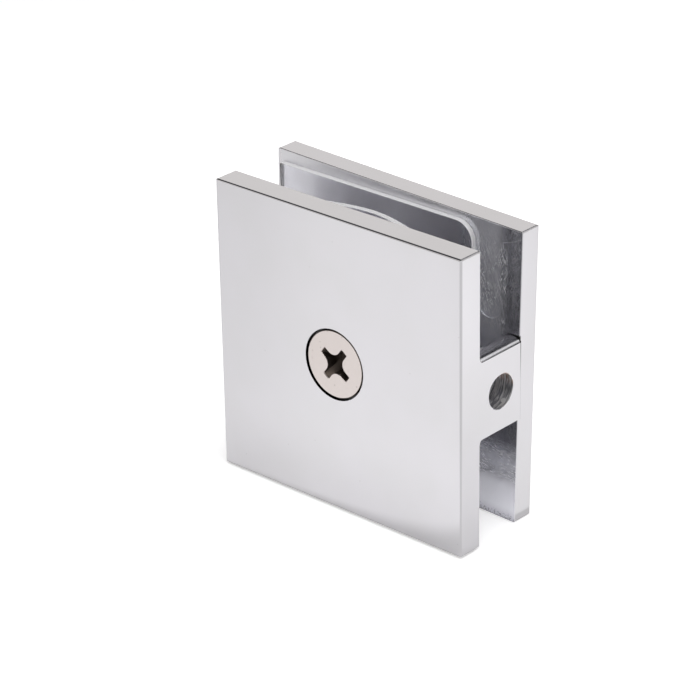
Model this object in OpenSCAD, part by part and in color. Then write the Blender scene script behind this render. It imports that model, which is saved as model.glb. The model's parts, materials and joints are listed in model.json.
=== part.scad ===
// Clamp that holds the edge of a glass pane to a wall, in millimetres.
// X runs towards the wall, Y from the front plate to the back plate, Z up.
// The origin is the middle of the wall hole's mouth, on the wall face.

/* [Plates] */
// Width and height of the square plates
plate_size = 50; // [45:1:70]
// Thickness of the front plate
front_plate_t = 4.5; // [3.8:0.1:6]
// Thickness of the back plate
back_plate_t = 4; // [3:0.1:6]
// Gap between the plates: the glass and both gaskets
plate_gap = 10; // [9.6:0.1:16]
// Rounding of the plates' corners and outer edges
plate_edge_r = 0.3; // [0.2:0.1:1]
// Rounding of the plates' inner edges
plate_inner_r = 0.15; // [0.05:0.05:0.3]
// How far the back plate's middle lies above the clamp screw
back_plate_rise = 0.1; // [0:0.1:0.5]
// Turn of the back plate about the clamp screw as it was fitted, in degrees
plate_turn = 1.3; // [0:0.1:2]

/* [Wall lug] */
// Depth of the lug from the wall face
lug_depth = 4.4; // [4:0.1:7]
// Height of the lug at the wall face
lug_h = 13; // [12:0.5:18]
// How far the lug's rounded top and bottom rise from the wall face's edges to their crests
lug_crown = 0.7; // [0.3:0.1:1]
// Rounding of the lug's end, against the back plate
lug_end_r = 0.3; // [0.1:0.1:0.6]
// Fillet where the lug meets the front plate
lug_fillet_r = 0.5; // [0.3:0.1:1]
// Diameter of the hole for the wall screw
wall_hole_d = 5.8; // [4.5:0.1:6.5]

/* [Clamp screw] */
// How far the screw lies from the front plate's middle, away from the wall
screw_offset = 0.6; // [0.5:0.1:1]
// How far the screw lies above the front plate's middle
screw_rise = 0.1; // [0:0.1:0.6]
// Diameter over the screw's thread
screw_d = 6; // [5:0.5:6]
// Room left under the screw's tip in the blind thread
tip_room = 0.95; // [0.5:0.05:2]
// Diameter of the screw's head
head_d = 11.3; // [10:0.1:11.5]
// Height of the head's upright rim
head_rim = 0.25; // [0.1:0.05:0.3]
// How deep the head's top lies under the front face
head_sunk = 0.15; // [0:0.05:0.5]
// Gap round the head in the upright step of its sink
sink_gap = 0.35; // [0.2:0.05:0.4]
// Depth of that step under the front face
sink_step = 0.6; // [0.4:0.05:1]
// Clearance round the screw where it passes the front plate
screw_clearance = 0.2; // [0.1:0.05:0.4]
// Running clearance in the thread and under the head
thread_clearance = 0.05; // [0.02:0.01:0.1]
// Chamfer at the screw's tip
tip_chamfer = 0.8; // [0.2:0.1:1.2]

/* [Cross recess] */
// Width of the recess over opposite arms
recess_span = 6.4; // [4.5:0.1:6.5]
// Width of each arm
recess_arm_w = 1.3; // [0.7:0.1:1.4]
// Distance from the middle at which an arm's sides become straight
recess_arm_root = 2.2; // [1.8:0.1:2.6]
// Depth of the recess
recess_depth = 3; // [2:0.1:3.2]
// Width of the recess at its floor
recess_floor_d = 2.4; // [1.5:0.1:3]
// Turn of the recess, seen from the front
recess_turn = 53; // [0:1:90]

/* [Boss] */
// Diameter of the tapped boss on the back plate
boss_d = 10; // [9:0.5:12]
// Height of the boss over the plate's inner face
boss_h = 5; // [3:0.5:5.5]
// Chamfer at the boss's end and at the thread's mouth
boss_chamfer = 0.4; // [0.2:0.1:0.8]
// Metal left under the blind thread
boss_floor = 1.2; // [0.8:0.1:1.5]

/* [Gaskets] */
// Thickness of the gasket sheet
gasket_t = 1; // [0.8:0.1:1.5]
// Margin between a gasket and the plates' top and bottom edges
gasket_margin = 1.2; // [0.5:0.1:3]
// Margin between a gasket and the plates' free edge
gasket_free_margin = 1.1; // [0:0.1:2]
// Clearance between a gasket and the wall lug
gasket_lug_clearance = 4.7; // [1:0.1:6]
// Radius of a gasket's corners on the wall side
gasket_corner_r = 3.2; // [1:0.1:5]
// Clearance of a gasket's hole round the boss
gasket_hole_clearance = 1; // [0.5:0.1:2]
// How far the front gasket's bow lifts off its plate
bow_lift = 2.8; // [1:0.1:3.4]
// Length that lies flat on the plate between the bow and the gasket's wall side
bow_flat = 0.2; // [0.1:0.1:3]
// How far the crest lies from the screw, towards the wall
bow_offset = 1.5; // [0:0.1:2]

/* [Casting marks] */
// Diameter of the ejector marks on the back plate's inner face
mark_d = 5; // [3:0.5:6]
// Depth of the ejector marks
mark_depth = 0.2; // [0.1:0.05:0.4]
// Distance between the two marks
mark_span = 26.6; // [20:0.1:30]
// How far their middle lies below the plate's middle
mark_drop = 1.9; // [0:0.1:4]
// Distance of the marks from the plate's edge on the wall side
mark_edge = 6.2; // [5:0.1:8]

/* [Hidden] */
$fn = 96;
cut = 1;
front_y = -plate_gap / 2;
back_y = plate_gap / 2;
plate_x = -plate_size / 2;
screw_x = plate_x - screw_offset;
head_y = front_y - front_plate_t + head_sunk;
screw_hole_d = screw_d + 2 * screw_clearance;
tapped_d = screw_d + 2 * thread_clearance;
thread_end_y = back_y + back_plate_t - boss_floor;
screw_l = thread_end_y - tip_room - head_y;
head_sink_d = head_d + 2 * (head_sunk + head_rim + thread_clearance);
recess_lobe_r = recess_arm_root - recess_arm_w / 2;
lug_round_r = lug_depth + lug_crown - sqrt(2 * lug_depth * lug_crown);
lug_crest_x = lug_round_r - lug_depth;
lug_crest_z = lug_h / 2 + lug_crown;
gasket_wall_x = -lug_depth - gasket_lug_clearance;
gasket_free_x = -plate_size + gasket_free_margin;
gasket_h = plate_size - 2 * gasket_margin;
gasket_hole_d = boss_d + 2 * gasket_hole_clearance;
bow_x = screw_x + bow_offset;
bow_half = gasket_wall_x - bow_flat - bow_x;
bow_steps = 32;

// Rectangle round the origin with all its corners rounded
module round_rect(w, h, r) {
    square([w - 2 * r, h], center = true);
    square([w, h - 2 * r], center = true);
    for (x = [-1, 1], y = [-1, 1])
        translate([x * (w / 2 - r), y * (h / 2 - r)])
            circle(r);
}

// Rectangle that stands on the X axis, with its upper and its lower corners rounded
module round_side(w, h, top_r, foot_r) {
    translate([-w / 2, foot_r])
        square([w, h - top_r - foot_r]);
    translate([top_r - w / 2, foot_r])
        square([w - 2 * top_r, h - foot_r]);
    translate([foot_r - w / 2, 0])
        square([w - 2 * foot_r, h - top_r]);
    for (x = [-1, 1]) {
        translate([x * (w / 2 - top_r), h - top_r])
            circle(top_r);
        translate([x * (w / 2 - foot_r), foot_r])
            circle(foot_r);
    }
}

// Block that lies on the XY plane, of a given outline round the origin, rounded round its top and its foot
module round_block(w, h, t, top_r, foot_r) {
    intersection() {
        linear_extrude(t)
            children();
        rotate([90, 0, 0])
            linear_extrude(h, center = true)
                round_side(w, t, top_r, foot_r);
        rotate([90, 0, 90])
            linear_extrude(w, center = true)
                round_side(h, t, top_r, foot_r);
    }
}

// Square plate that lies on the XY plane with its outer face up
module plate(t) {
    round_block(plate_size, plate_size, t, plate_edge_r, plate_inner_r)
        round_rect(plate_size, plate_size, plate_edge_r);
}

// Hole for the clamp screw down the Z axis from its mouth at the origin: upright step, cone, through hole
module screw_hole() {
    cone_d = head_sink_d - 2 * sink_step;
    translate([0, 0, -cut])
        cylinder(h = sink_step + cut, d = head_d + 2 * sink_gap);
    translate([0, 0, sink_step])
        cylinder(h = (cone_d - screw_hole_d) / 2, d1 = cone_d, d2 = screw_hole_d);
    cylinder(h = front_plate_t + cut, d = screw_hole_d);
}

// Section of the lug: round on the glass side, with the rounds' crowns cut off by the wall face
module lug_outline() {
    side_h = 2 * (lug_crest_z - lug_round_r);
    translate([-lug_depth, -side_h / 2])
        square([lug_depth, side_h]);
    intersection() {
        for (side = [-1, 1])
            translate([lug_crest_x, side * side_h / 2])
                circle(lug_round_r);
        translate([-lug_depth, -lug_crest_z])
            square([lug_depth, 2 * lug_crest_z]);
    }
    translate([lug_crest_x, -lug_h / 2])
        square([-lug_crest_x, lug_h]);
}

// Lug along the Y axis from inside the front plate, with its end rounded
module wall_lug() {
    translate([-lug_depth / 2, front_y - cut, 0])
        rotate([-90, 0, 0])
            round_block(lug_depth, 2 * lug_crest_z, plate_gap + cut, lug_end_r, plate_inner_r)
                translate([lug_depth / 2, 0])
                    lug_outline();
}

// Fillet round the lug where it meets the plate, from the wall face over its top, glass side and bottom
module lug_fillet() {
    centre_z = lug_crest_z - lug_round_r;
    translate([-lug_depth, front_y, -centre_z])
        rotate(90)
            linear_extrude(2 * centre_z)
                root_fillet();
    for (side = [0, 1])
        mirror([0, 0, side])
            translate([lug_crest_x, front_y, centre_z])
                round_fillet();
}

// Part of the lug's fillet round one of its rounds, cut off by the wall face
module round_fillet() {
    reach = lug_round_r + lug_fillet_r;
    intersection() {
        rotate([-90, 0, 0])
            rotate_extrude()
                translate([lug_round_r, 0])
                    root_fillet();
        translate([-reach, -cut, 0])
            cube([reach - lug_crest_x, lug_fillet_r + cut, reach]);
    }
}

// Section of the lug's fillet, sunk into the plate and the lug
module root_fillet() {
    difference() {
        translate([-cut, -cut])
            square(lug_fillet_r + cut);
        translate([lug_fillet_r, lug_fillet_r])
            circle(lug_fillet_r);
    }
}

// Front plate and wall lug, cast in one
module clamp_body() {
    color("gainsboro")
        difference() {
            union() {
                translate([plate_x, front_y, 0])
                    rotate([90, 0, 0])
                        plate(front_plate_t);
                wall_lug();
                lug_fillet();
            }
            translate([screw_x, front_y - front_plate_t, screw_rise])
                rotate([-90, 0, 0])
                    screw_hole();
            translate([-lug_depth - cut, 0, 0])
                rotate([0, 90, 0])
                    cylinder(h = lug_depth + 2 * cut, d = wall_hole_d);
        }
}

// Boss along the Z axis from the plate's inner face, chamfered at its end
module boss() {
    translate([0, 0, -cut])
        cylinder(h = boss_h - boss_chamfer + cut, d = boss_d);
    translate([0, 0, boss_h - boss_chamfer])
        cylinder(h = boss_chamfer, d1 = boss_d, d2 = boss_d - 2 * boss_chamfer);
}

// Blind tapped hole down the boss, with a chamfered mouth
module boss_thread() {
    depth = boss_h + thread_end_y - back_y;
    translate([0, 0, boss_h - depth])
        cylinder(h = depth + cut, d = tapped_d);
    translate([0, 0, boss_h - boss_chamfer])
        cylinder(h = boss_chamfer, d1 = tapped_d, d2 = tapped_d + 2 * boss_chamfer);
}

// Round marks that the ejector pins left on the inner face
module ejector_marks() {
    for (side = [-1, 1])
        translate([plate_size / 2 - mark_edge, 0, side * mark_span / 2 - mark_drop])
            rotate([-90, 0, 0])
                translate([0, 0, -cut])
                    cylinder(h = mark_depth + cut, d = mark_d);
}

// Back plate with its tapped boss, turned a little on the screw as it was fitted
module back_plate() {
    color("gainsboro")
        translate([screw_x, back_y, screw_rise])
            difference() {
                union() {
                    rotate([0, plate_turn, 0])
                        translate([0, 0, back_plate_rise])
                            rotate([-90, 0, 0])
                                plate(back_plate_t);
                    rotate([90, 0, 0])
                        boss();
                }
                rotate([90, 0, 0])
                    boss_thread();
                rotate([0, plate_turn, 0])
                    translate([0, 0, back_plate_rise])
                        ejector_marks();
            }
}

// Outline of the cross recess: four straight arms that widen to the middle in round lobes
module recess_outline() {
    for (turn = [0, 90])
        rotate(turn)
            square([recess_span, recess_arm_w], center = true);
    difference() {
        square(2 * recess_arm_root, center = true);
        for (x = [-1, 1], y = [-1, 1])
            translate([x * recess_arm_root, y * recess_arm_root])
                circle(recess_lobe_r);
    }
}

// Cross recess that narrows to its floor
module cross_recess() {
    intersection() {
        translate([0, 0, -cut])
            linear_extrude(recess_depth + cut)
                rotate(-recess_turn)
                    recess_outline();
        union() {
            cylinder(h = recess_depth, d1 = recess_span, d2 = recess_floor_d);
            translate([0, 0, -cut])
                cylinder(h = cut, d = recess_span);
        }
    }
}

// Countersunk screw along the Y axis, its head's top at the head's seat
module clamp_screw() {
    cone_end = head_rim + (head_d - screw_d) / 2;
    color("mistyrose")
        translate([screw_x, head_y, screw_rise])
            rotate([-90, 0, 0])
                difference() {
                    rotate_extrude()
                        polygon([
                            [0, 0],
                            [head_d / 2, 0],
                            [head_d / 2, head_rim],
                            [screw_d / 2, cone_end],
                            [screw_d / 2, screw_l - tip_chamfer],
                            [screw_d / 2 - tip_chamfer, screw_l],
                            [0, screw_l]
                        ]);
                    cross_recess();
                }
}

// Outline of a gasket, seen from the front: square at the free side, rounded at the wall side
module gasket_outline() {
    translate([gasket_free_x, -gasket_h / 2])
        square([gasket_wall_x - gasket_free_x - gasket_corner_r, gasket_h]);
    translate([gasket_free_x, gasket_corner_r - gasket_h / 2])
        square([gasket_wall_x - gasket_free_x, gasket_h - 2 * gasket_corner_r]);
    for (side = [-1, 1])
        translate([gasket_wall_x - gasket_corner_r, side * (gasket_h / 2 - gasket_corner_r)])
            circle(gasket_corner_r);
}

// Gasket outline with its hole for the boss, as a block that runs along +Y from the XZ plane
module gasket_blank(t) {
    rotate([90, 0, 0])
        mirror([0, 0, 1])
            linear_extrude(t)
                difference() {
                    gasket_outline();
                    translate([screw_x, screw_rise])
                        circle(d = gasket_hole_d);
                }
}

// Point of the bowed sheet: a raised cosine over the plate, and off from it along its normal
function bow_point(x, off) =
    let (
        phase = 180 * x / bow_half,
        height = bow_lift * (1 + cos(phase)) / 2,
        slope = -bow_lift * PI / (2 * bow_half) * sin(phase),
        normal = [-slope, 1] / norm([slope, 1])
    )
    [x, height] + off * normal;

// Section of the bowed sheet: flat on the plate at both ends, lifted off it in the middle
module bowed_section() {
    xs = [for (i = [0 : bow_steps]) bow_half * (2 * i / bow_steps - 1)];
    polygon(concat(
        [[-plate_size, 0]],
        [for (x = xs) bow_point(x, 0)],
        [[plate_size, 0], [plate_size, gasket_t]],
        [for (x = xs) bow_point(-x, gasket_t)],
        [[-plate_size, gasket_t]]
    ));
}

// Gasket on the front plate, bowed as it stands with no glass in the clamp
module front_gasket() {
    color("whitesmoke", 0.5)
        translate([0, front_y, 0])
            intersection() {
                translate([bow_x, 0, 0])
                    linear_extrude(gasket_h + cut, center = true)
                        bowed_section();
                translate([0, -cut, 0])
                    gasket_blank(bow_lift + gasket_t + 2 * cut);
            }
}

// Gasket that lies flat on the back plate
module back_gasket() {
    color("whitesmoke", 0.5)
        translate([0, back_y - gasket_t, 0])
            gasket_blank(gasket_t);
}

clamp_body();
back_plate();
clamp_screw();
front_gasket();
back_gasket();
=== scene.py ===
"""Looks of a clamp that holds the edge of a glass pane: chromed plates, a nickel screw, clear gaskets.

Lengths are in metres, in the frame of the solids: X runs towards the wall, Y from the front plate to the
back plate, Z up. The origin is the middle of the wall hole's mouth.
"""
import json
import math

import bpy
import numpy as np
from mathutils import Matrix, Vector


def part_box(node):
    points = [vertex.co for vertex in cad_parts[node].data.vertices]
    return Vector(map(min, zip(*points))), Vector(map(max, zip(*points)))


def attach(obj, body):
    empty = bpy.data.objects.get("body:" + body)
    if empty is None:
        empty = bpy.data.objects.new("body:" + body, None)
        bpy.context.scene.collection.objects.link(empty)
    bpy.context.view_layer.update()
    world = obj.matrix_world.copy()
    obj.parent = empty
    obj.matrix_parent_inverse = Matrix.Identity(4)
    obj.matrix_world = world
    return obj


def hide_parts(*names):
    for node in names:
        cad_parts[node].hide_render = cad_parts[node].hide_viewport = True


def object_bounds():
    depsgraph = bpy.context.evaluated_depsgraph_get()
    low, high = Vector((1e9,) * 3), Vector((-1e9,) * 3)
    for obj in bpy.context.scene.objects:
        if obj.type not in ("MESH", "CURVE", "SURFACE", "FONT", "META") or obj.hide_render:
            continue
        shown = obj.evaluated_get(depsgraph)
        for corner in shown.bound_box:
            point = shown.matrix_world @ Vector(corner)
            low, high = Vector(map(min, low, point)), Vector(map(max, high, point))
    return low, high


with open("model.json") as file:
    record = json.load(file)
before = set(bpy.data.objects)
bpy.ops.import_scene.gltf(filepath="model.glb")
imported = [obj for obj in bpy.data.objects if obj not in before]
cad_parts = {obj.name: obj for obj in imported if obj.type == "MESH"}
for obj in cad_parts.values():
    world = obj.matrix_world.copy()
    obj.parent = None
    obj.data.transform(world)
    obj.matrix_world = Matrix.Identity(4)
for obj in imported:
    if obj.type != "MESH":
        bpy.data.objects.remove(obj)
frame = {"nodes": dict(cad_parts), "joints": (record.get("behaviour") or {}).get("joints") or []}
cad_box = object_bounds()

MM = 0.001

# Faces and axes that the solids give
SCREW_AXIS = Vector(next(j for j in frame["joints"] if j["name"] == "screw_turn")["pos_m"])
HEAD_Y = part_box("clamp_screw")[0].y
TIP_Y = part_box("clamp_screw")[1].y
FRONT_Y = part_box("clamp_body")[0].y
FRONT_INNER_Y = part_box("front_gasket")[0].y
BACK_INNER_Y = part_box("back_gasket")[1].y
FLOOR_Z = cad_box[0].z

# Clamp screw
HEAD_R = 5.65 * MM
HEAD_RIM = 0.25 * MM
HEAD_EDGE_R = 0.1 * MM
SHANK_R = 3 * MM
TIP_CHAMFER = 0.8 * MM
THREAD_PITCH = 1 * MM
THREAD_DEPTH = 0.54 * MM
THREAD_RUNOUT = 0.9 * MM
RECESS_SPAN = 6.4 * MM
RECESS_ARM_W = 1.3 * MM
RECESS_ARM_ROOT = 2.2 * MM
RECESS_DEPTH = 3 * MM
RECESS_FLOOR_R = 1.2 * MM
RECESS_EDGE_R = 0.07 * MM
RECESS_TURN = math.radians(53)

# Gaskets
GASKET_T = 0.96 * MM
GASKET_AIR = 0.03 * MM
GASKET_EDGE_R = 0.12 * MM
GASKET_HOLE_R = 6 * MM
GASKET_WALL_CORNER_R = 3.2 * MM
GASKET_FREE_CORNER_R = 0.3 * MM
BOW_LIFT = 2.8 * MM
BOW_HALF = 14.8 * MM
BOW_OFFSET = 1.5 * MM

# Wall lug
LUG_DEPTH = 4.4 * MM
LUG_CREST_Z = 7.2 * MM
WALL_HOLE_R = 2.9 * MM

# Marks on the back plate's inner face, as (x, z) of their middle: two ejector marks and a scratch in an arc
MARK_R = 2.5 * MM
MARK_DEPTH = 0.2 * MM
MARK_MIDDLES = ((-6.54 * MM, 11.17 * MM), (-7.15 * MM, -15.42 * MM))
SCRATCH_R = 16.3 * MM
SCRATCH_MIDDLE = (-7.9 * MM, 37.7 * MM)
SCRATCH_END_X = -4.2 * MM

# Sink of the clamp screw's head
SINK_R = 6 * MM

# Painted highlight in the wall hole: a white spot for the glint off a small burr
GLINT_R = 0.5 * MM
GLINT_MIDDLE = Vector((-0.9, 1.63, -2.4)) * MM

# Colours of the chrome, on the polished faces, the inner faces and in the wall hole
POLISHED_COLOURS = ((0.675, 0.665, 0.688, 1), (0.66, 0.652, 0.668, 1))
SPECK_COLOUR = (0.56, 0.55, 0.56, 1)
CAST_COLOURS = ((0.59, 0.595, 0.635, 1), (0.69, 0.695, 0.74, 1))
STRIP_COLOUR = (0.44, 0.44, 0.465, 1)
# Painted shade on the inner faces, level with the lug and under it
SHADE_COLOUR = (0.27, 0.27, 0.285, 1)
FREE_COLOUR = (0.77, 0.765, 0.79, 1)
SCUFF_COLOUR = (0.92, 0.92, 0.95, 1)
# Painted light: the lower end of the inner faces made pale, where it mirrors the lit floor below
LOWER_END_LIGHT_COLOUR = (0.93, 0.93, 1, 1)
BORDER_COLOUR = (0.26, 0.26, 0.29, 1)
STAIN_COLOURS = ((0.34, 0.34, 0.37, 1), (0.46, 0.33, 0.27, 1))
STREAK_COLOUR = (0.92, 0.91, 0.91, 1)
# Painted highlight: the white glint in the wall hole
GLINT_COLOUR = (1, 1, 1, 1)
# Painted shade: near black in the seam at the lug's end and in the gap round the screw's head
GAP_SHADE_COLOUR = (0.03, 0.03, 0.03, 1)

# Colours of the screw and the gaskets
NICKEL_COLOURS = ((0.62, 0.565, 0.542, 1), (0.67, 0.613, 0.588, 1))
# Painted shade, with some grease, in the screw's recess and at its head's rim
NICKEL_SHADE_AND_GREASE_COLOURS = ((0.09, 0.072, 0.06, 1), (0.15, 0.123, 0.106, 1))
NICKEL_SPECK_COLOUR = (0.33, 0.29, 0.27, 1)
SHEET_COLOURS = ((0.955, 0.955, 0.98, 1), (0.985, 0.985, 1, 1))
SHEET_IOR = 1.48

# Studio: heights are the upward share of a direction
FLOOR_COLOUR = (0.86, 0.86, 0.865, 1)
FLOOR_HALF = 3.0
WALL_COLOUR = (0.87, 0.85, 0.83, 1)
CEILING_COLOUR = (0.05, 0.05, 0.055, 1)
CEILING_START = 0.5
CEILING_FULL = 0.6
FLOOR_GLOW_SEEN = 0.45
# Painted light: glows of the floor that only the metal mirrors, for two cards and for the floor under the gap
FRONT_CARD_GLOW = (0.24, 0.325)
SIDE_CARD_GLOW = ((0.15, 0.43), (0.27, 0.36))
GAP_GLOW = 0.3
FRONT_CARD_EDGE = 9 * MM
SIDE_CARD_EDGE = 3 * MM
FRONT_CARD_SLANT = 0.9
SIDE_CARD_SLANT = 1.1

# Camera: where it looks from, in degrees round the part and above the floor
CAMERA_AZIMUTH = math.radians(42.06)
CAMERA_ELEVATION = math.radians(25.51)
CAMERA_ROLL = math.radians(-0.99)
CAMERA_DISTANCE = 472.8 * MM
CAMERA_AIM = Vector((-28.02, -3.1, -0.43)) * MM
CAMERA_LENS = 154.59
CAMERA_SENSOR = 36


def ring_mesh(name, rings, material, closed=False):
    """Object from an array of rings (ring, point, axis).

    Each ring is closed on itself and joined to the next by quads. Where closed, the last ring is joined to
    the first. Otherwise a fan of triangles to the middle of the first ring and of the last one shuts the
    ends. The faces are turned over if the volume that they enclose comes out negative.
    """
    count, around = rings.shape[:2]
    points = rings.reshape(-1, 3)
    here = np.arange(around)
    beside = np.roll(here, -1)
    lower = np.arange(count if closed else count - 1)[:, None] * around
    upper = (lower + around) % (count * around)
    quads = np.stack([lower + here, lower + beside, upper + beside, upper + here], axis=-1).reshape(-1, 4)
    faces = quads.tolist()
    triangles = np.concatenate([quads[:, [0, 1, 2]], quads[:, [0, 2, 3]]])
    if not closed:
        points = np.concatenate([points, rings[[0, -1]].mean(axis=1)])
        first = np.stack([beside, here, np.full(around, len(points) - 2)], axis=-1)
        last_ring = (count - 1) * around
        last = np.stack([here + last_ring, beside + last_ring, np.full(around, len(points) - 1)], axis=-1)
        faces += first.tolist() + last.tolist()
        triangles = np.concatenate([triangles, first, last])
    a, b, c = (points[triangles[:, k]] for k in range(3))
    if np.einsum("ij,ij->", np.cross(a, b), c) < 0:
        faces = [face[::-1] for face in faces]
    mesh = bpy.data.meshes.new(name)
    mesh.from_pydata(points.tolist(), [], faces)
    mesh.polygons.foreach_set("use_smooth", np.ones(len(faces), dtype=bool))
    mesh.update()
    mesh.materials.append(material)
    piece = bpy.data.objects.new(name, mesh)
    bpy.context.scene.collection.objects.link(piece)
    return piece


def recess_angles():
    """Angles round the screw, close together where the recess turns a corner.

    They fill the eighth of a turn from an arm's middle to the next lobe's middle, are mirrored into a quarter
    turn, and repeat four times.
    """
    tip = math.atan2(RECESS_ARM_W, RECESS_SPAN)
    root = math.atan2(RECESS_ARM_W / 2, RECESS_ARM_ROOT)
    lobe = math.pi / 4
    eighth = np.concatenate([
        np.linspace(0, tip, 8, endpoint=False),
        np.linspace(tip, root, 6, endpoint=False),
        np.linspace(root, lobe, 14, endpoint=False),
    ])
    quarter = np.concatenate([eighth, [lobe], math.pi / 2 - eighth[:0:-1]])
    return np.concatenate([quarter + k * math.pi / 2 for k in range(4)])


def recess_radius(angle):
    """Distance of the recess's outline from the screw's axis, at an angle from an arm's middle.

    The angle is folded to an eighth of a turn. An arm's flat tip lies at half the span over the cosine, its
    straight side at half the arm's width over the sine, and the lobe between two arms on a circle round the
    point that is one arm root out along both arms.
    """
    folded = np.abs((angle + math.pi / 4) % (math.pi / 2) - math.pi / 4)
    cosine, sine = np.cos(folded), np.sin(folded)
    tip = RECESS_SPAN / 2 / cosine
    side = RECESS_ARM_W / 2 / np.maximum(sine, 1e-9)
    lobe_r = RECESS_ARM_ROOT - RECESS_ARM_W / 2
    under_root = np.maximum(lobe_r**2 - (RECESS_ARM_ROOT * (cosine - sine))**2, 0)
    lobe = RECESS_ARM_ROOT * (cosine + sine) - np.sqrt(under_root)
    straight = np.minimum(tip, side)
    return np.where(side * cosine >= RECESS_ARM_ROOT, straight, lobe)


def outward(flat):
    """Unit normals, pointing out, of a closed outline of points (point, axis) that runs anticlockwise."""
    along = np.roll(flat, -1, axis=0) - np.roll(flat, 1, axis=0)
    normal = np.stack([along[:, 1], -along[:, 0]], axis=-1)
    return normal / np.linalg.norm(normal, axis=1, keepdims=True)


def quarter_arc(radius, steps=5):
    """Points of a quarter circle from its crest (0, 0) to its side (radius, radius), as (out, down) pairs."""
    turn = np.linspace(0, math.pi / 2, steps)
    return np.stack([radius * np.sin(turn), radius * (1 - np.cos(turn))], axis=-1)


def screw_recess_rings(angle):
    """Rings (ring, point, (x, z, depth)) from the recess's floor up its walls and over its rounded mouth.

    At each depth the outline is cut back to the cone that narrows from the arms' span to the floor.
    """
    mouth = np.stack([np.cos(angle), np.sin(angle)], axis=-1) * recess_radius(angle)[:, None]
    reach = np.linalg.norm(mouth, axis=1)
    depth = np.linspace(RECESS_DEPTH, RECESS_EDGE_R, 14)
    cone = RECESS_SPAN / 2 + (RECESS_FLOOR_R - RECESS_SPAN / 2) * depth / RECESS_DEPTH
    share = np.minimum(1, cone[:, None] / reach)
    wall = mouth * share[..., None]
    floor = wall[:1] * np.array([0.35, 0.7, 0.95])[:, None, None]
    edge = quarter_arc(RECESS_EDGE_R)[::-1]
    lip = mouth + (RECESS_EDGE_R - edge[:, 0])[:, None, None] * outward(mouth)
    flat = np.concatenate([floor, wall, lip[1:]])
    below = np.concatenate([np.full(len(floor), RECESS_DEPTH), depth, edge[1:, 1]])
    level = np.broadcast_to(below[:, None, None], flat.shape[:2] + (1,))
    return np.concatenate([flat, level], axis=-1)


def screw_head_rings(mouth, angle):
    """Rings over the head's flat face from the recess's mouth to the rounded rim, and down the cone."""
    circle = np.stack([np.cos(angle), np.sin(angle)], axis=-1)
    face_r = HEAD_R - HEAD_EDGE_R
    share = np.array([0.04, 0.2, 0.45, 0.75, 0.96])[:, None, None]
    face = mouth + share * (face_r * circle - mouth)
    edge = quarter_arc(HEAD_EDGE_R)
    cone_end = HEAD_RIM + HEAD_R - SHANK_R
    radius = np.concatenate([face_r + edge[:, 0], np.linspace(HEAD_R, SHANK_R, 8)])
    below = np.concatenate([edge[:, 1], np.linspace(HEAD_RIM, cone_end, 8)])
    flat = np.concatenate([face, radius[:, None, None] * circle])
    level = np.concatenate([np.zeros(len(face)), below])
    return np.concatenate([flat, np.broadcast_to(level[:, None, None], flat.shape[:2] + (1,))], axis=-1)


def screw_thread_rings(angle):
    """Rings down the threaded shank to the flat tip.

    The groove's depth is a triangle wave, flattened at crest and root, of the turns made by going down one
    pitch or once round, so that the thread is right-handed. It fades in under the head, and the tip's chamfer
    cuts it off.
    """
    start = HEAD_RIM + HEAD_R - SHANK_R
    end = TIP_Y - HEAD_Y
    below = np.linspace(start, end, int(12 * (end - start) / THREAD_PITCH))[1:, None]
    turns = below / THREAD_PITCH + angle / (2 * math.pi)
    wave = np.abs(2 * (turns % 1) - 1)
    groove = np.clip((wave - 0.12) / 0.7, 0, 1)
    fade = np.clip((below - start) / THREAD_RUNOUT, 0, 1)
    chamfer = SHANK_R - TIP_CHAMFER + (end - below)
    radius = np.minimum(SHANK_R - THREAD_DEPTH * groove * fade, chamfer)
    flat = radius[..., None] * np.stack([np.cos(angle), np.sin(angle)], axis=-1)
    body = np.concatenate([flat, np.broadcast_to(below[..., None], radius.shape + (1,))], axis=-1)
    tip = body[-1:] * np.array([0.6, 0.6, 1])
    return np.concatenate([body, tip])


def clamp_screw(material):
    """The screw as one closed surface of rings, from the recess's floor over the head and down to the tip."""
    angle = recess_angles()
    recess = screw_recess_rings(angle)
    head = screw_head_rings(recess[-1, :, :2], angle)
    local = np.concatenate([recess, head, screw_thread_rings(angle)])
    cosine, sine = math.cos(RECESS_TURN), math.sin(RECESS_TURN)
    x = SCREW_AXIS.x + cosine * local[..., 0] - sine * local[..., 1]
    z = SCREW_AXIS.z + sine * local[..., 0] + cosine * local[..., 1]
    piece = ring_mesh("screw", np.stack([x, HEAD_Y + local[..., 2], z], axis=-1), material)
    piece.data.set_sharp_from_angle(angle=math.radians(40))
    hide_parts("clamp_screw")
    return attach(piece, "clamp_screw")


def rounded_outline(low, high, radii):
    """Closed outline of a rectangle with a radius for each corner, anticlockwise from the low corner.

    Each corner is a quarter circle, and each side a straight run of points.
    """
    corners = np.array([[low[0], low[1]], [high[0], low[1]], [high[0], high[1]], [low[0], high[1]]])
    inward = np.array([[1, 1], [-1, 1], [-1, -1], [1, -1]])
    turn = np.linspace(0, math.pi / 2, 13)
    parts = []
    for k in range(4):
        begin = math.pi + k * math.pi / 2
        arc = np.stack([np.cos(begin + turn), np.sin(begin + turn)], axis=-1)
        parts.append(corners[k] + radii[k] * (inward[k] + arc))
        following = (k + 1) % 4
        side = corners[following] - corners[k]
        side_dir = side / np.linalg.norm(side)
        first, last = parts[-1][-1], corners[following] - radii[following] * side_dir
        share = np.linspace(0, 1, 44)[1:-1, None]
        parts.append(first + share * (last - first))
    return np.concatenate(parts)


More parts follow.
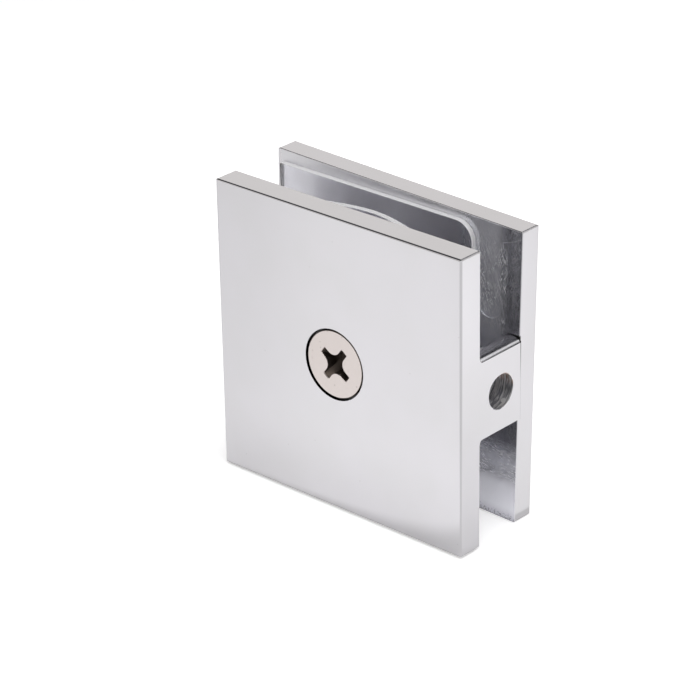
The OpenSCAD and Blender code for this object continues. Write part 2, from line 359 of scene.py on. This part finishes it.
def sheet_profile():
    """Once round a gasket's section: rows of (share of the way out, inset, height, cut).

    It starts at the hole, runs out over the foot, up the outline's cut edge, back over the top and down the
    hole's cut edge. Cut is one on the edges' rounded corners, less between them, and nought on the two sides.
    """
    arc = quarter_arc(GASKET_EDGE_R, 4)
    corner = np.stack([np.ones(4), GASKET_EDGE_R - arc[:, 0], arc[:, 1], np.array([0, 0.7, 1, 1])], axis=-1)
    middle = np.array([[1, 0, GASKET_T / 2, 0.7]])
    far_corner = corner[::-1] * np.array([1, 1, -1, 1]) + np.array([0, 0, GASKET_T, 0])
    edge = np.concatenate([corner, middle, far_corner])
    across = np.linspace(0, 1, 26)[1:-1]
    foot = np.stack([across, np.full_like(across, GASKET_EDGE_R), 0 * across, 0 * across], axis=-1)
    top = foot[::-1] + np.array([0, 0, GASKET_T, 0])
    return np.concatenate([foot, edge, top, edge[::-1] * np.array([0, 1, 1, 1])])


def sheet_ring(node, share, inset):
    """Points (x, z) a share of the way from a gasket's hole to its outline, both drawn in by the inset."""
    low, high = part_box(node)
    radii = np.array([GASKET_FREE_CORNER_R, GASKET_WALL_CORNER_R, GASKET_WALL_CORNER_R, GASKET_FREE_CORNER_R])
    outline = rounded_outline(
        (low.x + inset, low.z + inset), (high.x - inset, high.z - inset), radii - inset,
    )
    centre = np.array([SCREW_AXIS.x, SCREW_AXIS.z])
    ray = outline - centre
    hole = centre + (GASKET_HOLE_R + inset) * ray / np.linalg.norm(ray, axis=1, keepdims=True)
    return hole + share * (outline - hole)


def gasket(name, node, body, face_y, towards, lift, material):
    """Sheet with a hole, as one closed surface of rings that go once round its section.

    The sheet's foot stands off its plate by a raised cosine of X (the lift times one plus the cosine,
    halved), and its thickness runs along that curve's normal. An attribute marks the cut edges.
    """
    share, inset, above, cut = sheet_profile().T
    flat = np.stack([sheet_ring(node, s, i) for s, i in zip(share, inset)])
    x, z = flat[..., 0], flat[..., 1]
    phase = np.clip((x - SCREW_AXIS.x - BOW_OFFSET) / BOW_HALF, -1, 1) * math.pi
    foot = GASKET_AIR + lift * (1 + np.cos(phase)) / 2
    slope = -lift * math.pi / (2 * BOW_HALF) * np.sin(phase)
    length = np.sqrt(1 + slope**2)
    rise = foot + above[:, None] / length
    points = np.stack([x - above[:, None] * slope / length, face_y + towards * rise, z], axis=-1)
    piece = ring_mesh(name, points, material, closed=True)
    marked = piece.data.attributes.new("cut_edge", "FLOAT", "POINT")
    marked.data.foreach_set("value", np.repeat(cut, points.shape[1]))
    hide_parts(node)
    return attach(piece, body)


def new_material(name):
    """Material with an empty node tree that ends in one Principled shader, and that shader's node."""
    material = bpy.data.materials.new(name)
    material.use_nodes = True
    tree = material.node_tree
    tree.nodes.clear()
    shader = tree.nodes.new("ShaderNodeBsdfPrincipled")
    output = tree.nodes.new("ShaderNodeOutputMaterial")
    tree.links.new(shader.outputs["BSDF"], output.inputs["Surface"])
    return material, tree, shader


def add(tree, kind, inputs=None, **settings):
    """Node of a kind with its settings, and its inputs either joined to a socket or set to a value."""
    made = tree.nodes.new("ShaderNode" + kind)
    for key, value in settings.items():
        setattr(made, key, value)
    for key, value in (inputs or {}).items():
        if isinstance(value, bpy.types.NodeSocket):
            tree.links.new(value, made.inputs[key])
        else:
            made.inputs[key].default_value = value
    return made


def calc(tree, operation, first, second=0.0):
    """Result of a Math node on two numbers or sockets."""
    return add(tree, "Math", {0: first, 1: second}, operation=operation).outputs[0]


def ramp(tree, value, low, high, to_low=0.0, to_high=1.0):
    """Value carried smoothly from the span low..high to the span to_low..to_high, and held at both ends."""
    made = add(
        tree, "MapRange",
        {"Value": value, "From Min": low, "From Max": high, "To Min": to_low, "To Max": to_high},
        interpolation_type="SMOOTHSTEP",
    )
    return made.outputs["Result"]


def blend(tree, factor, first, second):
    """Colour between two colours or colour sockets."""
    made = add(tree, "Mix", {"Factor": factor, 6: first, 7: second}, data_type="RGBA")
    return made.outputs[2]


def noise(tree, place, size, detail=2.0, roughness=0.5, distortion=0.0, stretch=(1, 1, 1), turn=(0, 0, 0)):
    """Noise from 0 to 1 with lumps of about the given size, stretched along axes that are turned first."""
    mapping = add(
        tree, "Mapping", {"Vector": place, "Rotation": turn, "Scale": stretch}, vector_type="TEXTURE",
    )
    made = add(
        tree, "TexNoise",
        {"Vector": mapping.outputs[0], "Scale": 1 / size, "Detail": detail, "Roughness": roughness,
         "Distortion": distortion},
    )
    return made.outputs[0]


def specks(tree, place, spacing, size, share):
    """Mask of small round spots on a face across Y: the middles of a share of scattered cells."""
    axes = add(tree, "SeparateXYZ", {0: place})
    flat = add(tree, "CombineXYZ", {0: axes.outputs["X"], 1: axes.outputs["Z"]}).outputs[0]
    cells = add(
        tree, "TexVoronoi", {"Vector": flat, "Scale": 1 / spacing}, feature="F1", voronoi_dimensions="2D",
    )
    spot = ramp(tree, cells.outputs["Distance"], size / spacing, 0.4 * size / spacing)
    pick = add(tree, "SeparateColor", {0: cells.outputs["Color"]})
    return calc(tree, "MULTIPLY", spot, ramp(tree, pick.outputs[0], 1 - share, 1 - 0.8 * share))


def scratches(tree, place, width, length, turn, level):
    """Mask of fine lines on a face across Y: the crests, over a level, of noise drawn out along one way."""
    streak = noise(tree, place, width, 1, 0.5, 0.15, (1, 4, length / width), (0, turn, 0))
    return ramp(tree, streak, level, level + 0.06)


def product(tree, *factors):
    """Product of several masks."""
    result = factors[0]
    for factor in factors[1:]:
        result = calc(tree, "MULTIPLY", result, factor)
    return result


def lug_mask(tree, x, y, z):
    """One on the lug between the plates, without the thin space at the back plate's inner face."""
    beside = ramp(tree, calc(tree, "ABSOLUTE", z), LUG_CREST_Z + 0.6 * MM, LUG_CREST_Z + 0.5 * MM)
    along = ramp(tree, x, -LUG_DEPTH - 0.6 * MM, -LUG_DEPTH - 0.5 * MM)
    return product(tree, beside, along, ramp(tree, y, BACK_INNER_Y - 0.02 * MM, BACK_INNER_Y - 0.06 * MM))


def cast_mask(tree, x, y, z):
    """One on the plates' inner faces and in their ejector marks, where the plating is left as cast."""
    middle = (FRONT_INNER_Y + BACK_INNER_Y) / 2
    half = (BACK_INNER_Y - FRONT_INNER_Y) / 2
    off = calc(tree, "ABSOLUTE", calc(tree, "SUBTRACT", y, middle))
    upper, lower = (distance(tree, x, z, middle_xz) for middle_xz in MARK_MIDDLES)
    mark = ramp(tree, calc(tree, "MINIMUM", upper, lower), MARK_R + 0.1 * MM, MARK_R + 0.05 * MM)
    off = calc(tree, "SUBTRACT", off, calc(tree, "MULTIPLY", mark, MARK_DEPTH))
    inside = product(
        tree,
        ramp(tree, off, half + 0.08 * MM, half + 0.03 * MM),
        ramp(tree, x, -0.02 * MM, -0.12 * MM),
        ramp(tree, x, -49.6 * MM, -49.2 * MM),
    )
    return product(tree, inside, calc(tree, "SUBTRACT", 1.0, lug_mask(tree, x, y, z)))


def scuff_mask(tree, x, z):
    """Where the inner faces are scuffed: above the lug, away from the wall edge, and in a band below it."""
    height = product(tree, ramp(tree, z, 5 * MM, 9 * MM), ramp(tree, z, 25 * MM, 19 * MM))
    above = product(tree, height, ramp(tree, x, -2 * MM, -3.8 * MM))
    band = product(tree, ramp(tree, z, -19.5 * MM, -17.5 * MM), ramp(tree, z, -11 * MM, -13.5 * MM))
    return product(tree, calc(tree, "MAXIMUM", above, band), ramp(tree, x, -12 * MM, -8 * MM, 0.25, 1))


def border_mask(tree, x, z, rough_noise):
    """Speckles where the plating ran thin: along the wall edge and the bottom edge of the lower end."""
    side = ramp(tree, x, -1.8 * MM, -0.3 * MM)
    bottom = ramp(tree, z, -23 * MM, -25 * MM)
    near = product(tree, calc(tree, "MAXIMUM", side, bottom), ramp(tree, z, -12 * MM, -18 * MM))
    speckle = ramp(tree, calc(tree, "ADD", rough_noise, calc(tree, "MULTIPLY", near, 0.28)), 0.72, 0.84)
    return calc(tree, "MAXIMUM", speckle, calc(tree, "MULTIPLY", near, 0.4))


def seam_shade_mask(tree, x, y, z):
    """Painted shade in the seam between the lug's end and the back plate, thick at the top and thin further
    down.
    """
    off = calc(tree, "ABSOLUTE", calc(tree, "SUBTRACT", y, BACK_INNER_Y))
    wider = ramp(tree, x, -0.5 * MM, -0.15 * MM, 0, 0.1 * MM)
    near = ramp(tree, calc(tree, "SUBTRACT", off, wider), 0.32 * MM, 0.14 * MM)
    beside = ramp(tree, calc(tree, "ABSOLUTE", z), LUG_CREST_Z + 0.2 * MM, LUG_CREST_Z)
    along = ramp(tree, x, -3.4 * MM, -1.6 * MM)
    return product(tree, near, beside, along, ramp(tree, z, -1 * MM, 6.5 * MM, 0.05, 1))


def distance(tree, first, second, middle=(0, 0)):
    """Distance of a point from a middle, on two axes."""
    offsets = {k: calc(tree, "SUBTRACT", axis, middle[k]) for k, axis in enumerate((first, second))}
    offset = add(tree, "CombineXYZ", offsets).outputs[0]
    return add(tree, "VectorMath", {0: offset}, operation="LENGTH").outputs["Value"]


def circle_mask(tree, x, z, middle, radius, width):
    """Thin circle on a face across Y."""
    off = calc(tree, "ABSOLUTE", calc(tree, "SUBTRACT", distance(tree, x, z, middle), radius))
    return ramp(tree, off, width, 0.3 * width)


def mark_mask(tree, x, z, patch):
    """Bright rims of the ejector marks, patchy or on the wall side only, and the scratch in an arc."""
    upper, lower = (circle_mask(tree, x, z, middle, MARK_R, 0.14 * MM) for middle in MARK_MIDDLES)
    upper = product(tree, upper, ramp(tree, x, MARK_MIDDLES[0][0], MARK_MIDDLES[0][0] + 1.5 * MM))
    rims = calc(tree, "MULTIPLY", calc(tree, "MAXIMUM", upper, product(tree, lower, patch)), 0.45)
    arc = circle_mask(tree, x, z, SCRATCH_MIDDLE, SCRATCH_R, 0.09 * MM)
    arc = product(tree, arc, ramp(tree, x, SCRATCH_END_X - 0.5 * MM, SCRATCH_END_X + 0.5 * MM), 0.45)
    return calc(tree, "MAXIMUM", rims, arc)


def bore_mask(tree, x, y, z):
    """One inside the wall hole, as deep as the lug."""
    near = ramp(tree, distance(tree, y, z), WALL_HOLE_R + 0.12 * MM, WALL_HOLE_R + 0.04 * MM)
    return product(tree, near, ramp(tree, x, -LUG_DEPTH - 0.3 * MM, -LUG_DEPTH - 0.1 * MM))


def sink_shade_mask(tree, x, y, z):
    """Painted shade in the narrow gap round the clamp screw's head, from a little under the front face."""
    radius = distance(tree, x, z, (SCREW_AXIS.x, SCREW_AXIS.z))
    near = ramp(tree, radius, SINK_R + 0.06 * MM, SINK_R + 0.02 * MM)
    deep = ramp(tree, y, FRONT_Y + 0.12 * MM, FRONT_Y + 0.32 * MM)
    return product(tree, near, deep, ramp(tree, y, FRONT_INNER_Y - 0.2 * MM, FRONT_INNER_Y - 0.5 * MM))


def scuffs(tree, place, x, z, cast):
    """Mask of the fine scuff lines, steep over the lug and flat under it, and of the marks' bright rims."""
    patch = ramp(tree, noise(tree, place, 4 * MM, 1), 0.3, 0.6, 0.35, 0.75)
    steep = calc(
        tree, "MAXIMUM",
        scratches(tree, place, 0.12 * MM, 1.2 * MM, -0.35, 0.56),
        scratches(tree, place, 0.12 * MM, 0.8 * MM, 0.4, 0.62),
    )
    flat = scratches(tree, place, 0.12 * MM, 1 * MM, 1.75, 0.55)
    lower = ramp(tree, z, 0, -2 * MM)
    steep = product(tree, steep, calc(tree, "SUBTRACT", 1.0, lower))
    fine = calc(tree, "MAXIMUM", product(tree, flat, lower), steep)
    lines = product(tree, fine, patch, cast, scuff_mask(tree, x, z))
    return calc(tree, "MAXIMUM", lines, product(tree, mark_mask(tree, x, z, patch), cast))


def crown_mask(tree, x, y, z):
    """One on the crowned upper and lower sides of the lug, between the plates."""
    beside = ramp(tree, calc(tree, "ABSOLUTE", z), 6.4 * MM, 6.55 * MM)
    between = ramp(tree, y, FRONT_INNER_Y, FRONT_INNER_Y + 0.1 * MM)
    return product(tree, lug_mask(tree, x, y, z), beside, between)


def cast_zones(tree, x, z):
    """Masks of four zones of the inner faces, each a smooth step of X or Z or a product of two steps.

    They are the free side, a strip along the upper wall edge, the painted shade level with the lug and under it,
    and the lower end, made pale as painted light.
    """
    free = ramp(tree, x, -9 * MM, -13 * MM)
    strip = product(tree, ramp(tree, x, -6 * MM, -1.6 * MM), ramp(tree, z, 4 * MM, 7 * MM))
    # Painted shade level with the lug and under it
    shade = product(tree, ramp(tree, z, -16 * MM, -11 * MM), ramp(tree, z, 4 * MM, 2 * MM))
    # Painted light: the lower end made pale
    pale = ramp(tree, z, -16.5 * MM, -20 * MM)
    return free, strip, shade, pale


def polished_colour(tree, place, y):
    """Colour of the polished faces: slightly cloudy, with faint specks on the front face."""
    on_face = ramp(tree, y, FRONT_Y + 0.1 * MM, FRONT_Y)
    spot = product(tree, specks(tree, place, 5 * MM, 0.12 * MM, 0.2), on_face)
    smear = ramp(tree, noise(tree, place, 14 * MM, 2, 0.55), 0.35, 0.7)
    return blend(tree, spot, blend(tree, smear, *POLISHED_COLOURS), SPECK_COLOUR)


def cast_colour(tree, place, x, z, cast, wrinkle, scuff, zones):
    """Colour of the inner faces: mottled and tinted by zone, with painted shade by the lug and painted light on
    the lower end, light in the scuffs, dark where plating is thin.
    """
    free, strip, shade, pale = zones
    colour = blend(tree, wrinkle, *CAST_COLOURS)
    tints = (
        (strip, STRIP_COLOUR), (shade, SHADE_COLOUR), (free, FREE_COLOUR), (scuff, SCUFF_COLOUR),
        (pale, LOWER_END_LIGHT_COLOUR),
    )
    for mask, tint in tints:
        colour = blend(tree, mask, colour, tint)
    border = product(tree, border_mask(tree, x, z, noise(tree, place, 0.28 * MM, 3, 0.65)), cast)
    return blend(tree, border, colour, BORDER_COLOUR)


def bore_colour(tree, place, y, z):
    """Colour in the wall hole: grey, rusty at its upper back, with light streaks round it and a white spot of
    painted highlight.
    """
    rusty = product(tree, ramp(tree, z, -0.5 * MM, 1 * MM), ramp(tree, y, -1 * MM, 0.5 * MM))
    stain = blend(tree, rusty, *STAIN_COLOURS)
    streak = noise(tree, place, 0.3 * MM, 2, 0.6, 0.3, (1, 8, 8), (0, 0.15, 0.2))
    streaked = blend(tree, ramp(tree, streak, 0.4, 0.64), stain, STREAK_COLOUR)
    # Painted highlight: a white spot for the glint off a small burr
    off_glint = add(tree, "VectorMath", {0: place, 1: GLINT_MIDDLE}, operation="DISTANCE").outputs["Value"]
    return blend(tree, ramp(tree, off_glint, GLINT_R, 0.6 * GLINT_R), streaked, GLINT_COLOUR)


def chrome(name):
    """Bright chrome plate, mirror-polished outside and left as cast inside the gap.

    Inside, the plating is wrinkled, and its scuffs are rougher and less metallic than the rest. The wall hole
    is dull, and so are the lug's crowned sides a little. The seam at the lug's end and the gap round the screw's
    head in its sink are painted near black, as painted shade.
    """
    material, tree, shader = new_material(name)
    place = add(tree, "TexCoord").outputs["Object"]
    axes = add(tree, "SeparateXYZ", {0: place})
    x, y, z = (axes.outputs[k] for k in range(3))
    cast = cast_mask(tree, x, y, z)
    bore = bore_mask(tree, x, y, z)
    scuff = scuffs(tree, place, x, z, cast)
    wrinkle = noise(tree, place, 1.5 * MM, 3, 0.6, 0.7, (1, 1, 1.7), (0, 0.45, 0))
    zones = cast_zones(tree, x, z)
    free, strip, shade = zones[:3]
    dull = cast_colour(tree, place, x, z, cast, wrinkle, scuff, zones)
    colour = blend(tree, cast, polished_colour(tree, place, y), dull)
    colour = blend(tree, bore, colour, bore_colour(tree, place, y, z))
    # Painted shade: the seam at the lug's end and the gap round the screw's head are darkened to near black
    gap_shade = calc(tree, "MAXIMUM", seam_shade_mask(tree, x, y, z), sink_shade_mask(tree, x, y, z))
    tree.links.new(blend(tree, gap_shade, colour, GAP_SHADE_COLOUR), shader.inputs["Base Color"])
    smooth = ramp(tree, noise(tree, place, 9 * MM, 1), 0.3, 0.7, 0.03, 0.06)
    satin = calc(tree, "ADD", ramp(tree, wrinkle, 0.3, 0.7, 0.05, 0.13), calc(tree, "MULTIPLY", free, 0.25))
    rough = calc(tree, "ADD", smooth, product(tree, cast, satin))
    for mask, more in ((scuff, 0.2), (crown_mask(tree, x, y, z), 0.12), (bore, 0.25)):
        rough = calc(tree, "ADD", rough, calc(tree, "MULTIPLY", mask, more))
    tree.links.new(rough, shader.inputs["Roughness"])
    uneven = product(tree, cast, ramp(tree, free, 0, 1, 1, 0.2))
    cast_bump = add(tree, "Bump", {"Strength": uneven, "Distance": 0.06 * MM, "Height": wrinkle})
    scuff_bump = add(
        tree, "Bump", {"Strength": 1, "Distance": 0.03 * MM, "Height": scuff, "Normal": cast_bump.outputs[0]},
    )
    tree.links.new(scuff_bump.outputs[0], shader.inputs["Normal"])
    bare = product(
        tree, cast, ramp(tree, free, 0, 1, 0.42, 0.1), ramp(tree, strip, 0, 1, 1, 0.25),
        ramp(tree, shade, 0, 1, 1, 0.3),
    )
    frosted = calc(tree, "MAXIMUM", calc(tree, "MULTIPLY", scuff, 0.7), calc(tree, "MULTIPLY", bore, 0.3))
    frosted = calc(tree, "MAXIMUM", frosted, bare)
    tree.links.new(calc(tree, "SUBTRACT", 1.0, frosted), shader.inputs["Metallic"])
    return material


def nickel(name):
    """Satin nickel of the screw: warm and faintly mottled, dark in the recess and at the rim as painted shade
    with some grease.
    """
    material, tree, shader = new_material(name)
    place = add(tree, "TexCoord").outputs["Object"]
    axes = add(tree, "SeparateXYZ", {0: place})
    x, y, z = (axes.outputs[k] for k in range(3))
    mottle = noise(tree, place, 1.2 * MM, 3, 0.6)
    on_face = ramp(tree, y, HEAD_Y + 0.1 * MM, HEAD_Y + 0.03 * MM)
    spot = product(tree, specks(tree, place, 1.5 * MM, 0.12 * MM, 0.35), on_face)
    # Painted shade with some grease: the recess below its mouth and the head's rim are darkened
    deep = ramp(tree, y, HEAD_Y + 0.03 * MM, HEAD_Y + 0.13 * MM)
    floor_y = HEAD_Y + RECESS_DEPTH
    deep = product(tree, deep, ramp(tree, y, floor_y + 0.3 * MM, floor_y + 0.1 * MM))
    rim = distance(tree, x, z, (SCREW_AXIS.x, SCREW_AXIS.z))
    deep = calc(tree, "MAXIMUM", deep, ramp(tree, rim, HEAD_R - 0.14 * MM, HEAD_R - 0.06 * MM))
    bright = blend(tree, mottle, *NICKEL_COLOURS)
    dark = blend(tree, mottle, *NICKEL_SHADE_AND_GREASE_COLOURS)
    face = blend(tree, spot, bright, NICKEL_SPECK_COLOUR)
    tree.links.new(blend(tree, deep, face, dark), shader.inputs["Base Color"])
    rough = calc(tree, "ADD", ramp(tree, mottle, 0.3, 0.7, 0.12, 0.2), calc(tree, "MULTIPLY", deep, 0.35))
    tree.links.new(rough, shader.inputs["Roughness"])
    grain = noise(tree, place, 0.25 * MM, 2)
    bump = add(tree, "Bump", {"Strength": 0.3, "Distance": 0.01 * MM, "Height": grain})
    tree.links.new(bump.outputs[0], shader.inputs["Normal"])
    shader.inputs["Metallic"].default_value = 1
    return material


def clear_sheet(name):
    """Soft clear sheet with a faintly uneven surface and a little haze, and white on its cut edges."""
    material, tree, shader = new_material(name)
    place = add(tree, "TexCoord").outputs["Object"]
    haze = noise(tree, place, 3 * MM, 3, 0.6)
    tree.links.new(blend(tree, haze, *SHEET_COLOURS), shader.inputs["Base Color"])
    cut = add(tree, "Attribute", attribute_name="cut_edge").outputs["Fac"]
    rough = calc(tree, "ADD", ramp(tree, haze, 0.3, 0.7, 0.04, 0.1), calc(tree, "MULTIPLY", cut, 0.4))
    tree.links.new(rough, shader.inputs["Roughness"])
    tree.links.new(ramp(tree, cut, 0, 1, 1, 0.35), shader.inputs["Transmission Weight"])
    lumps = noise(tree, place, 1.5 * MM, 2)
    bump = add(tree, "Bump", {"Strength": 0.4, "Distance": 0.03 * MM, "Height": lumps})
    tree.links.new(bump.outputs[0], shader.inputs["Normal"])
    shader.inputs["IOR"].default_value = SHEET_IOR
    return material


def card_glow(tree, x, y):
    """Painted light seen in the metal: glow of two card-shaped patches of the floor, in front of the plates'
    face and beside their wall edges.

    Each fills the quarter of the floor where X times the distance behind the front face is positive, the front
    card at negative X and the side card at positive X. The front card's glow goes by X plus a share of the
    distance in front of the face, and the side card's by X, and by Y less a share of X. Both fade out beyond
    the strip that is mirrored towards the camera. Between the cards the floor is plain, so that the part's
    upright edges show as thin darker lines.
    """
    quarter = calc(tree, "MULTIPLY", x, calc(tree, "SUBTRACT", y, FRONT_Y))
    ahead = calc(tree, "SUBTRACT", FRONT_Y, y)
    beside = calc(tree, "ADD", x, calc(tree, "MULTIPLY", ahead, FRONT_CARD_SLANT))
    front = product(
        tree, ramp(tree, quarter, 0, FRONT_CARD_EDGE**2), ramp(tree, x, 1 * MM, -1 * MM),
        ramp(tree, beside, -50 * MM, -25 * MM, *FRONT_CARD_GLOW),
        ramp(tree, beside, -110 * MM, -50 * MM), ramp(tree, beside, 35 * MM, 0),
    )
    behind = calc(tree, "SUBTRACT", y, calc(tree, "MULTIPLY", x, SIDE_CARD_SLANT))
    near_glow, far_glow = (ramp(tree, behind, -8 * MM, 8 * MM, *pair) for pair in zip(*SIDE_CARD_GLOW))
    side = product(
        tree, ramp(tree, quarter, 0, SIDE_CARD_EDGE**2), ramp(tree, x, -1 * MM, 1 * MM),
        ramp(tree, x, 0, 60 * MM, near_glow, far_glow),
        ramp(tree, behind, -50 * MM, -10 * MM), ramp(tree, behind, 50 * MM, 11 * MM),
    )
    return calc(tree, "ADD", front, side)


def gap_glow(tree, x, y):
    """Painted light: glow of the floor under the gap between the plates, in place of the light that would fall
    through.
    """
    along = product(tree, ramp(tree, x, 2 * MM, -1 * MM), ramp(tree, x, -52 * MM, -48 * MM))
    after_front = ramp(tree, y, FRONT_INNER_Y - 1 * MM, FRONT_INNER_Y)
    before_back = ramp(tree, y, BACK_INNER_Y + 1 * MM, BACK_INNER_Y)
    return calc(tree, "MULTIPLY", product(tree, along, after_front, before_back), GAP_GLOW)


def pale_floor():
    """Large white floor under the part. It glows a little for what looks at it, but still takes shadows.

    What the camera sees of it glows evenly. What the metal mirrors of it glows, as painted light, where the
    cards lie and under the gap.
    """
    material, tree, shader = new_material("floor_white")
    shader.inputs["Base Color"].default_value = FLOOR_COLOUR
    shader.inputs["Roughness"].default_value = 1
    shader.inputs["Specular IOR Level"].default_value = 0
    rays = add(tree, "LightPath")
    seen = calc(tree, "MAXIMUM", rays.outputs["Is Camera Ray"], rays.outputs["Is Transmission Ray"])
    glow = calc(tree, "MULTIPLY", seen, FLOOR_GLOW_SEEN)
    axes = add(tree, "SeparateXYZ", {0: add(tree, "TexCoord").outputs["Object"]})
    x, y = axes.outputs["X"], axes.outputs["Y"]
    # Painted light: the card and gap glows, given to glossy rays only
    light = calc(tree, "MAXIMUM", card_glow(tree, x, y), gap_glow(tree, x, y))
    mirrored = calc(tree, "MULTIPLY", rays.outputs["Is Glossy Ray"], light)
    shader.inputs["Emission Color"].default_value = (1, 1, 1, 1)
    tree.links.new(calc(tree, "MAXIMUM", glow, mirrored), shader.inputs["Emission Strength"])
    low, high = -FLOOR_HALF, FLOOR_HALF
    corners = [(low, low, FLOOR_Z), (high, low, FLOOR_Z), (high, high, FLOOR_Z), (low, high, FLOOR_Z)]
    mesh = bpy.data.meshes.new("floor")
    mesh.from_pydata(corners, [], [(0, 1, 2, 3)])
    mesh.materials.append(material)
    floor = bpy.data.objects.new("floor", mesh)
    bpy.context.scene.collection.objects.link(floor)


def studio_world():
    """Pale, slightly warm walls all round, and a dark ceiling over them."""
    world = bpy.data.worlds.new("studio")
    bpy.context.scene.world = world
    world.use_nodes = True
    tree = world.node_tree
    back = tree.nodes["Background"]
    way = add(tree, "TexCoord").outputs["Generated"]
    height = add(tree, "SeparateXYZ", {0: way}).outputs["Z"]
    above = ramp(tree, height, CEILING_START, CEILING_FULL)
    tree.links.new(blend(tree, above, WALL_COLOUR, CEILING_COLOUR), back.inputs["Color"])
    back.inputs["Strength"].default_value = 1


def softbox(name, direction, away, size, power):
    """Square area lamp that looks at the part from a direction."""
    lamp = bpy.data.lights.new(name, "AREA")
    lamp.shape = "SQUARE"
    lamp.size = size
    lamp.energy = power
    holder = bpy.data.objects.new(name, lamp)
    way = Vector(direction).normalized()
    holder.location = CAMERA_AIM + away * way
    holder.rotation_euler = way.to_track_quat("Z", "Y").to_euler()
    bpy.context.scene.collection.objects.link(holder)


def camera():
    """Camera on the line given by its angles, turned about that line by its roll."""
    data = bpy.data.cameras.new("camera")
    data.lens = CAMERA_LENS
    data.sensor_width = CAMERA_SENSOR
    data.clip_start = 10 * MM
    holder = bpy.data.objects.new("camera", data)
    back = Vector((
        math.cos(CAMERA_ELEVATION) * math.sin(CAMERA_AZIMUTH),
        -math.cos(CAMERA_ELEVATION) * math.cos(CAMERA_AZIMUTH),
        math.sin(CAMERA_ELEVATION),
    ))
    level = Vector((0, 0, 1)).cross(back).normalized()
    turned = Matrix.Rotation(CAMERA_ROLL, 3, back) @ level
    axes = Matrix((turned, back.cross(turned), back)).transposed()
    holder.matrix_world = Matrix.Translation(CAMERA_AIM + CAMERA_DISTANCE * back) @ axes.to_4x4()
    bpy.context.scene.collection.objects.link(holder)
    bpy.context.scene.camera = holder


camera()
studio_world()
pale_floor()
softbox("overhead", (0.2, -0.06, 0.98), 0.44, 0.36, 1.62)
softbox("near_camera", (0.526, -0.46, 0.715), 0.7, 0.14, 0.12)
softbox("back_high", (0.2, 0.69, 0.69), 0.7, 0.12, 0.05)

bright_chrome = chrome("bright_chrome")
frame["nodes"]["clamp_body"].material_slots[0].material = bright_chrome
frame["nodes"]["back_plate"].material_slots[0].material = bright_chrome
clamp_screw(nickel("satin_nickel"))
soft_clear = clear_sheet("soft_clear")
gasket("front_sheet", "front_gasket", "clamp_body", FRONT_INNER_Y, 1, BOW_LIFT, soft_clear)
gasket("back_sheet", "back_gasket", "back_plate", BACK_INNER_Y, -1, 0, soft_clear)

scene = bpy.context.scene
scene.view_settings.view_transform = "Standard"
scene.cycles.glossy_bounces = 24
scene.cycles.transmission_bounces = 32
scene.cycles.max_bounces = 48
